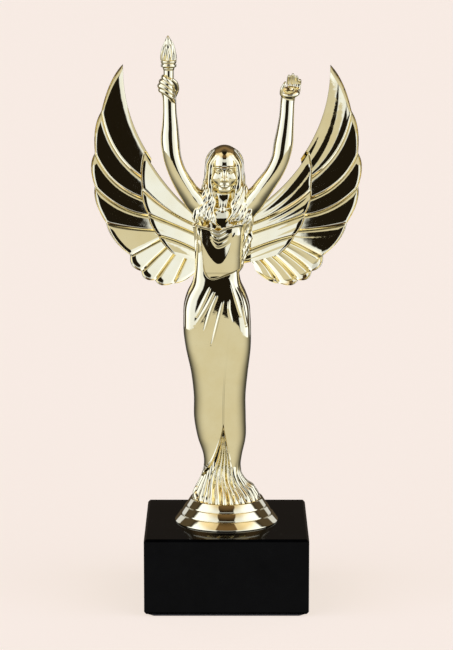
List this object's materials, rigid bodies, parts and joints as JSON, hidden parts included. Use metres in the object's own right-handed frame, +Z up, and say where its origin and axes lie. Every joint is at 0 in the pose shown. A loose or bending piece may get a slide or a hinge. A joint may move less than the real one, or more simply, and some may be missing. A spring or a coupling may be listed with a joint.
{
  "type": "figure trophy",
  "caption": "Winged draped female figure in mirror gold, one raised hand holding a torch and the other open, on a stepped round pedestal clamped to a polished square black stone block.",
  "frame": {"origin": "underneath the felt, under the middle of the square block and on the axis of the threaded rod", "axes": "+Z up the figure; -Y is the front, which the figure faces; +X is the figure's own left, with its open hand"},
  "size_m": [0.1332, 0.08, 0.2784],
  "materials": {
    "mirror_gold": "moulded plastic with a vacuum-metallised mirror coat in pale gold",
    "black_stone": "polished to a mirror",
    "felt": "napped",
    "zinc_steel": "bright zinc plate"
  },
  "bodies": {
    "plinth": {"stone_block": "black_stone", "base_felt": "felt"},
    "figure": {"flat_washer": "zinc_steel", "lock_washer": "zinc_steel", "clamp_nut": "zinc_steel", "threaded_rod": "zinc_steel", "socket_nut": "zinc_steel", "pedestal": "mirror_gold", "figure_front": "mirror_gold", "figure_back": "mirror_gold", "torch_arm": "mirror_gold", "open_arm": "mirror_gold", "torch": "mirror_gold", "torch_flame": "mirror_gold", "right_wing": "mirror_gold", "left_wing": "mirror_gold"}
  },
  "joints": [
    {"name": "figure_swivel", "type": "hinge", "parent": "plinth", "child": "figure", "pos_m": [0, 0, 0.0385], "axis": [0, 0, 1], "continuous": true}
  ]
}
